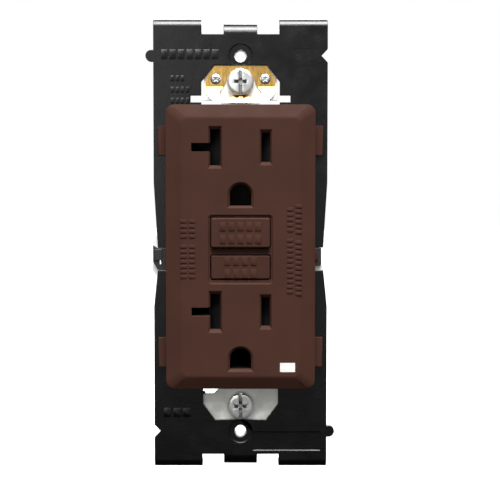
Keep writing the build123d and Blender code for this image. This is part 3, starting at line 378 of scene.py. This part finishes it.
def thread(bm, major, pitch, start, end, depth, around=28, per_turn=10):
    """A helical thread about Y from start to end, tapering off at its tip."""
    step = pitch / per_turn
    rows = int((end - start) / step)
    rings = []
    for row in range(rows + 1):
        y = start + row * step
        near_tip = min(1, (end - y) / (1.2 * pitch) + 0.45)
        near_head = min(1, (y - start) / pitch)
        ring = []
        for i in range(around):
            phase = (y / pitch - i / around) % 1
            groove = 1 - abs(2 * phase - 1)
            groove = min(1, max(0, (groove - 0.1) / 0.75))
            r = (major - depth * groove * near_head) * (0.72 + 0.28 * near_tip)
            a = 2 * math.pi * i / around
            ring.append(bm.verts.new((r * MM * math.cos(a), y * MM, r * MM * math.sin(a))))
        rings.append(ring)
    for a, b in zip(rings, rings[1:]):
        for i in range(around):
            j = (i + 1) % around
            bm.faces.new((a[i], a[j], b[j], b[i]))
    bm.faces.new(rings[0])
    bm.faces.new(list(reversed(rings[-1])))


def wedge(bm, length, width, top, bottom, taper):
    """A driver wing: a box that narrows with depth, along X, centred on the Y axis."""
    loops = []
    for y, shrink in ((top, 1.0), (bottom, taper)):
        half_l, half_w = length / 2 * shrink, width / 2 * (0.6 + 0.4 * shrink)
        loops.append([(u * MM, y * MM, v * MM) for u, v in
                      ((-half_l, -half_w), (half_l, -half_w), (half_l, half_w), (-half_l, half_w))])
    stack_loops(bm, loops)


def solid(name, build):
    """A loose helper object from a function that fills a bmesh."""
    bm = bmesh.new()
    build(bm)
    bmesh.ops.recalc_face_normals(bm, faces=bm.faces)
    mesh = bpy.data.meshes.new(name)
    bm.to_mesh(mesh)
    bm.free()
    obj = bpy.data.objects.new(name, mesh)
    bpy.context.scene.collection.objects.link(obj)
    return obj


def carve(obj, cutters, soften):
    """Cuts the cutters out of obj, rounds its edges by soften mm and removes the cutters."""
    for cutter in cutters:
        cut = obj.modifiers.new("cut", "BOOLEAN")
        cut.operation, cut.solver, cut.object = "DIFFERENCE", "EXACT", cutter
    bevel = obj.modifiers.new("soften", "BEVEL")
    bevel.width, bevel.segments = soften * MM, 2
    bevel.limit_method, bevel.angle_limit = "ANGLE", math.radians(40)
    graph = bpy.context.evaluated_depsgraph_get()
    mesh = bpy.data.meshes.new_from_object(obj.evaluated_get(graph))
    obj.modifiers.clear()
    obj.data = mesh
    for cutter in cutters:
        bpy.data.objects.remove(cutter)


# ---------------------------------------------------------------- softened copies of the visible shells
def softened(node, body, width):
    """A copy of a CAD node's skin with its sharp edges rounded off, shown in its place."""
    bm = bmesh.new()
    bm.from_mesh(nodes[node].data)
    bmesh.ops.transform(bm, matrix=nodes[node].matrix_world, verts=bm.verts)
    bmesh.ops.remove_doubles(bm, verts=bm.verts, dist=0.002 * MM)
    bmesh.ops.dissolve_limit(bm, angle_limit=math.radians(0.5), verts=bm.verts, edges=bm.edges)
    mesh = bpy.data.meshes.new(f"{node}_soft")
    bm.to_mesh(mesh)
    bm.free()
    mesh.shade_smooth()
    obj = bpy.data.objects.new(f"{node}_soft", mesh)
    bpy.context.scene.collection.objects.link(obj)
    bevel = obj.modifiers.new("soften", "BEVEL")
    bevel.width, bevel.segments = width * MM, 2
    bevel.limit_method, bevel.angle_limit = "ANGLE", math.radians(32)
    bevel.use_clamp_overlap = False
    weighted = obj.modifiers.new("flatten", "WEIGHTED_NORMAL")
    weighted.weight = 90
    graph = bpy.context.evaluated_depsgraph_get()
    obj.data = bpy.data.meshes.new_from_object(obj.evaluated_get(graph))
    obj.modifiers.clear()
    obj.data.materials.clear()
    obj.data.materials.append(MATERIALS[slot_of[node]])
    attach(obj, body)
    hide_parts(node)


def softened_shells():
    for node, width in (("face_cover", 0.1), ("upper_plate_frame", 0.14), ("lower_plate_frame", 0.14),
                        ("rear_housing", 0.15), ("mounting_strap", 0.06), ("front_housing", 0.1)):
        softened(node, ROOT, width)
    softened("reset_button", "reset_plunger", 0.1)
    softened("test_button", "test_plunger", 0.1)


def live_spring(node, axis):
    """A copy of a spring shown in place of its CAD node, which is hidden; its still and moving ends are
    found but not used.
    """
    low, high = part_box(node)
    still, moving = (low + high) / 2, (low + high) / 2
    if axis == 0:
        still[0], moving[0] = high[0], low[0]
    else:
        still[1], moving[1] = high[1], low[1]
    mesh = nodes[node].data.copy()
    mesh.transform(nodes[node].matrix_world)
    obj = bpy.data.objects.new(f"{node}_live", mesh)
    bpy.context.scene.collection.objects.link(obj)
    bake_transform(obj)
    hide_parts(node)


def live_springs():
    live_spring("reset_spring", 1)
    live_spring("test_contact_spring", 1)
    live_spring("upper_shutter_spring", 0)
    live_spring("lower_shutter_spring", 0)


# ---------------------------------------------------------------- screws
def screw_bmesh(head, head_r, neck_r, neck_end, major, tip, slot_w, washer=False):
    """A screw along +Y with its head's underside at 0: head, plain neck, 32-turn thread. Millimetres."""
    dome = [(head_r * 0.86, -head), (head_r * 0.945, -head * 0.93), (head_r * 0.985, -head * 0.78),
            (head_r, -head * 0.55), (head_r, -0.12), (head_r - 0.12, 0), (0, 0)]
    if washer:
        dome = [(head_r * 0.8, -head), (head_r * 0.84, -head * 0.94), (head_r * 0.84, -0.7),
                (head_r * 0.86, -0.62), (head_r, -0.6), (head_r, -0.08), (head_r - 0.08, 0), (0, 0)]

    def head_shape(bm):
        crown = [(0, -head - 0.12), (head_r * 0.35, -head - 0.1), (head_r * 0.68, -head - 0.03)]
        lathe(bm, crown + dome, 64)

    def slot_shape(bm):
        wedge(bm, 2.4 * head_r, slot_w, -head - 0.6, -head + 0.85, 1.0)

    def cross_shape(bm):
        wedge(bm, 3.7, 1.0, -head - 0.6, -head + 1.75, 0.45)

    def cross_back(bm):
        cross_shape(bm)
        bmesh.ops.rotate(bm, verts=bm.verts, matrix=Matrix.Rotation(math.pi / 2, 3, "Y"))

    body = solid("screw_head", head_shape)
    cutters = [solid("slot", slot_shape), solid("cross", cross_shape), solid("cross_back", cross_back)]
    carve(body, cutters, 0.07)
    bm = bmesh.new()
    bm.from_mesh(body.data)
    bpy.data.objects.remove(body)
    lathe(bm, [(0, -0.05), (neck_r, -0.05), (neck_r, neck_end + 0.1), (0, neck_end + 0.1)], 32)
    thread(bm, major, PITCH_32, neck_end, tip, 0.36)
    return bm


def place_screw(name, bm, matrix, slot_name, body, node):
    bmesh.ops.transform(bm, matrix=matrix, verts=bm.verts)
    obj = make_object(name, bm, slot_name, body)
    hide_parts(node)


def box_screws():
    """The two captive 6-32 screws: washer-like pan head, slot upright, fine thread."""
    for end in ("upper", "lower"):
        node = f"{end}_box_screw"
        low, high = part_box(node)
        centre = (low + high) / 2
        bm = screw_bmesh(head=2.3, head_r=3.42, neck_r=1.5, neck_end=1.75,
                         major=THREAD_6_32, tip=24.2, slot_w=0.95)
        slot_upright = Matrix.Rotation(math.radians(90), 4, "Y")
        place = Matrix.Translation((0, BOX_SCREW_SEAT * MM, centre.z)) @ slot_upright
        place_screw(f"{end}_box_screw_detail", bm, place, "zinc_screw", f"{end}_box_screw_body", node)


TERMINAL_SCREW = {"head": 2.4, "head_r": 3.7, "neck_r": 2.0, "neck_end": 0.3,
                  "major": THREAD_8_32, "slot_w": 1.1}


def terminal_screws():
    """Two 8-32 screws on each side wall, and the green ground screw with its built-in washer."""
    for source in ("line", "load"):
        for wire, side, metal in (("hot", 1, "brass_contact"), ("neutral", -1, "zinc_screw")):
            node = f"{source}_{wire}_screw"
            low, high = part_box(node)
            bm = screw_bmesh(**TERMINAL_SCREW, tip=8.0)
            turn = Matrix.Rotation(math.radians(90 * side), 4, "Z")
            centre = (low + high) / 2
            place = Matrix.Translation((side * TERMINAL_SEAT * MM, centre.y, centre.z)) @ turn
            place_screw(f"{node}_detail", bm, place, metal, f"{node}_body", node)
    low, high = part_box("ground_screw")
    centre = (low + high) / 2
    bm = screw_bmesh(**TERMINAL_SCREW, tip=6.2, washer=True)
    turn = Matrix.Rotation(math.radians(-90), 4, "Z")
    place = Matrix.Translation((-GROUND_SEAT * MM, centre.y, centre.z)) @ turn
    place_screw("ground_screw_detail", bm, place, "green_screw", "ground_screw_body", "ground_screw")


def clip_rivet_heads():
    """Two staked rivets, each with a cross pressed into its low dome."""
    low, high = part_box("clip_rivets")
    front, back, z = low[1] / MM, high[1] / MM, (low[2] + high[2]) / 2 / MM
    bm = bmesh.new()
    for x in (-RIVET_X, RIVET_X):
        def dome(b):
            lathe(b, [(0, front), (0.7, front + 0.03), (1.12, front + 0.12), (1.34, front + 0.26),
                      (1.34, front + 0.35), (0.88, front + 0.36), (0.88, back - 0.2), (0.75, back),
                      (0, back)], 40)

        def stake(b, turn):
            wedge(b, 1.9, 0.34, front - 0.3, front + 0.25, 0.8)
            bmesh.ops.rotate(b, verts=b.verts, matrix=Matrix.Rotation(turn, 3, "Y"))

        head = solid("rivet", dome)
        cutters = [solid("stake", lambda b, t=turn: stake(b, t)) for turn in (math.pi / 4, -math.pi / 4)]
        carve(head, cutters, 0.03)
        start = len(bm.verts)
        bm.from_mesh(head.data)
        bpy.data.objects.remove(head)
        bm.verts.ensure_lookup_table()
        bmesh.ops.translate(bm, verts=bm.verts[start:], vec=(x * MM, 0, z * MM))
    heads = make_object("clip_rivet_heads", bm, "zinc_screw", ROOT, material=MATERIALS["spring_steel"])
    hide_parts("clip_rivets")


# ---------------------------------------------------------------- details of the rear housing
def ring(bm, x, z, inner, outer, y, rise):
    """A low funnel-shaped ring round a hole in the back."""
    start = len(bm.verts)
    steps = [(inner, y - 0.3), (inner, y + rise * 0.5), (inner + 0.25, y + rise), (outer - 0.3, y + rise),
             (outer, y - FOOT)]
    lathe(bm, steps, 36)
    bm.verts.ensure_lookup_table()
    bmesh.ops.translate(bm, verts=bm.verts[start:], vec=(x * MM, 0, z * MM))


def side_pad(bm, side, y, z, w, h, rise, r=0.4):
    """A low pad on a side wall: w along the depth, h along the height."""
    loops = []
    for inset, out in ((0, -FOOT), (0, rise * 0.7), (rise * 0.4, rise)):
        loop = rounded_loop(w - 2 * inset, h - 2 * inset, r)
        loops.append([(side * (SIDE_X + out) * MM, (y + u) * MM, (z + v) * MM) for u, v in loop])
    stack_loops(bm, loops)


def rear_details():
    """Wire-hole rings, a wire gauge, plain bars where markings would be, grip ribs and a seam."""
    bm = bmesh.new()
    for side in (-1, 1):
        for z in (-TERMINAL_Z, TERMINAL_Z):
            for step in (-WIRE_STEP, WIRE_STEP):
                ring(bm, side * WIRE_X, z + step, WIRE_R, 2.3, BACK_Y, 0.28)
        for z in (-19.5, 19.5):
            raised_pad(bm, side * 13.4, z, 5.2, 0.9, BACK_Y, 0.18, towards=1)
            raised_pad(bm, side * 12.6, z - 1.7, 3.6, 0.9, BACK_Y, 0.18, towards=1)
        for z in (-2.2, 0.0, 2.2):
            side_pad(bm, side, 17.0, z, 12.0, 0.9, 0.25)
        for z in (-22.0, -19.0, 19.0, 22.0):
            side_pad(bm, side, 12.5, z, 15.0, 0.8, 0.22)
        side_pad(bm, side, 1.0, 0, 0.9, 62.0, 0.18, r=0.3)
    raised_frame(bm, 0, 6.5, 19.0, 31.0, BACK_Y, 0.2, 0.5, r=1.5, towards=1)
    make_object("rear_details", bm, "housing_black", ROOT)


def rear_label():
    """A pale label on the back with blank rows, a wiring sketch of plain bars and no words."""
    bm = bmesh.new()
    raised_pad(bm, 0, 6.5, 17.2, 29.2, BACK_Y, 0.08, r=1.0, towards=1)
    make_object("rear_label", bm, "capacitor_sleeve", ROOT, material=label_paper())
    bm = bmesh.new()
    for i, width in enumerate((13.0, 9.5, 12.0, 7.5, 11.0, 13.0, 6.0)):
        raised_pad(bm, (width - 13.0) / 2, 18.2 - i * 1.9, width, 0.8, BACK_Y + 0.08, 0.03, r=0.2, towards=1)
    raised_frame(bm, -4.0, 0.4, 5.0, 5.6, BACK_Y + 0.08, 0.03, 0.4, r=0.5, towards=1)
    raised_frame(bm, 4.0, 0.4, 5.0, 5.6, BACK_Y + 0.08, 0.03, 0.4, r=0.5, towards=1)
    for z in (-4.4, -6.0):
        raised_pad(bm, 0, z, 13.0, 0.6, BACK_Y + 0.08, 0.03, r=0.2, towards=1)
    make_object("rear_label_rows", bm, "component_black", ROOT)


def label_paper():
    paper = moulded("label_paper", linear(222, 220, 212), 0.6, grain=0.0004, depth=0.000008, edge_highlight=1.0)
    return paper.mat


# ---------------------------------------------------------------- moulded marks, none of them lettering
def mark_row(bm, x, z, count, w, h, gap, y, height, upright=False, breaks=()):
    """A row of small raised bars from a starting corner. An upright row runs down the face."""
    for i in range(count):
        if i in breaks:
            continue
        step = (w + gap) * (i + 0.5)
        if upright:
            raised_pad(bm, x, z - step, h, w, y, height, r=0.25)
        else:
            raised_pad(bm, x + step, z, w, h, y, height, r=0.25)


def cover_marks():
    """Two columns of bars on each side of the buttons, and one bar row on each button."""
    bm = bmesh.new()
    mark_row(bm, -14.3, 6.9, 12, 0.85, 1.6, 0.42, COVER_Y, BOLD_MARK, upright=True, breaks=(4,))
    mark_row(bm, -12.2, 6.9, 12, 0.85, 1.6, 0.42, COVER_Y, BOLD_MARK, upright=True, breaks=(4,))
    mark_row(bm, 12.5, 9.9, 17, 0.9, 1.6, 0.4, COVER_Y, BOLD_MARK, upright=True, breaks=(5,))
    mark_row(bm, 14.6, 10.7, 18, 0.9, 1.6, 0.4, COVER_Y, BOLD_MARK, upright=True, breaks=(6,))
    make_object("cover_marks", bm, "brown_cover", ROOT)
    for name, count, front, centre, body in (
        ("reset_marks", 5, -10.1, 3.4, "reset_plunger"), ("test_marks", 4, -8.95, -5.35, "test_plunger")
    ):
        bm = bmesh.new()
        width = count * 2.2
        for offset in (1.6, -1.6):
            mark_row(bm, -width / 2, centre + offset, count, 1.6, 2.2, 0.6, front, BOLD_MARK)
        make_object(name, bm, "button_plastic", body)


def frame_marks():
    """Faint bars and outlines moulded into the black frames."""
    bm = bmesh.new()
    mark_row(bm, -20.6, 48.7, 7, 1.75, 2.5, 0.42, FRAME_Y, FAINT_MARK)
    raised_frame(bm, 16.6, 48.3, 7.6, 4.9, FRAME_Y, 0.09, 0.45)
    raised_frame(bm, 14.9, 48.3, 2.0, 2.6, FRAME_Y, 0.09, 0.4, r=0.4)
    raised_frame(bm, 18.3, 48.3, 2.0, 2.6, FRAME_Y, 0.09, 0.4, r=0.4)
    for row, count in ((42.6, 3), (39.7, 4), (36.9, 4)):
        mark_row(bm, -18.1, row, count, 0.95, 1.5, 0.35, FRAME_Y, FAINT_MARK)
    make_object("upper_frame_marks", bm, "black_frame", ROOT)
    bm = bmesh.new()
    mark_row(bm, -20.2, -43.5, 3, 2.0, 2.4, 0.5, FRAME_Y, FAINT_MARK)
    make_object("lower_frame_marks", bm, "black_frame", ROOT)


softened_shells()
live_springs()
box_screws()
terminal_screws()
clip_rivet_heads()
rear_details()
rear_label()
cover_marks()
frame_marks()


# ---------------------------------------------------------------- camera, floor and light
def aim(obj, target):
    obj.rotation_euler = (Vector(target) - obj.location).to_track_quat("-Z", "Y").to_euler()


def area_light(name, place, size, power, reflect_only=False):
    """A square soft box aimed at the object. A reflect-only one shows in gloss and metal alone."""
    data = bpy.data.lights.new(name, "AREA")
    data.energy, data.size = power, size
    lamp = bpy.data.objects.new(name, data)
    bpy.context.scene.collection.objects.link(lamp)
    lamp.location = place
    lamp.visible_diffuse = not reflect_only
    aim(lamp, (0, 0, 0))


def build_stage():
    scene = bpy.context.scene
    lens = bpy.data.cameras.new("camera")
    lens.lens, lens.sensor_width = 77.7, 36
    lens.shift_x, lens.shift_y = 0.019, -0.011
    lens.clip_start = 0.01
    camera = bpy.data.objects.new("camera", lens)
    scene.collection.objects.link(camera)
    camera.location = (0, -0.28, 0.0137)
    aim(camera, (0, 0, 0))
    scene.camera = camera
    scene.view_settings.view_transform = "Standard"

    mesh = bpy.data.meshes.new("floor")
    half, level = 4, -0.13
    corners = [(x * half, y * half, level) for x, y in ((-1, -1), (1, -1), (1, 1), (-1, 1))]
    mesh.from_pydata(corners, [], [(0, 1, 2, 3)])
    floor = bpy.data.objects.new("floor", mesh)
    scene.collection.objects.link(floor)
    pale = Surface("pale_floor", (0.9, 0.9, 0.9, 1), 0.8, specular=0.1)
    pale.tint(pale.noise(0.05, 3), (0.89, 0.89, 0.89, 1), (0.92, 0.92, 0.92, 1))
    mesh.materials.append(pale.mat)
    floor.visible_diffuse = False
    floor.visible_glossy = False

    build_world(scene)
    sun = bpy.data.lights.new("key_light", "SUN")
    sun.energy, sun.angle = 4.6, math.radians(28)
    key = bpy.data.objects.new("key_light", sun)
    scene.collection.objects.link(key)
    key.location = (0.03, -0.5, 0.87)
    aim(key, (0, 0, 0))
    area_light("front_fill", (0.0, -0.9, 0.25), 1.1, 1.2)
    area_light("high_softbox", (0.0, -0.42, 0.8), 1.1, 40.0, reflect_only=True)
    area_light("front_softbox", (-0.3, -1.0, 0.2), 0.5, 0.85, reflect_only=True)
    area_light("back_fill", (0.2, 0.9, 0.5), 0.7, 9.0)


def build_world(scene):
    """White behind everything; the object itself is lit by a dim sky that fades below the horizon."""
    world = bpy.data.worlds.new("studio")
    world.use_nodes = True
    tree = world.node_tree
    backdrop = tree.nodes["Background"]
    backdrop.inputs["Color"].default_value = (1, 1, 1, 1)
    backdrop.inputs["Strength"].default_value = 1.0
    coords = tree.nodes.new("ShaderNodeTexCoord")
    height = tree.nodes.new("ShaderNodeSeparateXYZ")
    tree.links.new(coords.outputs["Generated"], height.inputs["Vector"])
    fade = tree.nodes.new("ShaderNodeMapRange")
    fade.inputs["From Min"].default_value = -0.4
    fade.inputs["From Max"].default_value = 0.8
    fade.inputs["To Min"].default_value = 0.03
    fade.inputs["To Max"].default_value = 0.35
    tree.links.new(height.outputs["Z"], fade.inputs["Value"])
    ambient = tree.nodes.new("ShaderNodeBackground")
    ambient.inputs["Color"].default_value = (1, 1, 1, 1)
    tree.links.new(fade.outputs["Result"], ambient.inputs["Strength"])
    path = tree.nodes.new("ShaderNodeLightPath")
    mix = tree.nodes.new("ShaderNodeMixShader")
    tree.links.new(path.outputs["Is Camera Ray"], mix.inputs["Fac"])
    tree.links.new(ambient.outputs["Background"], mix.inputs[1])
    tree.links.new(backdrop.outputs["Background"], mix.inputs[2])
    tree.links.new(mix.outputs["Shader"], tree.nodes["World Output"].inputs["Surface"])
    scene.world = world


build_stage()
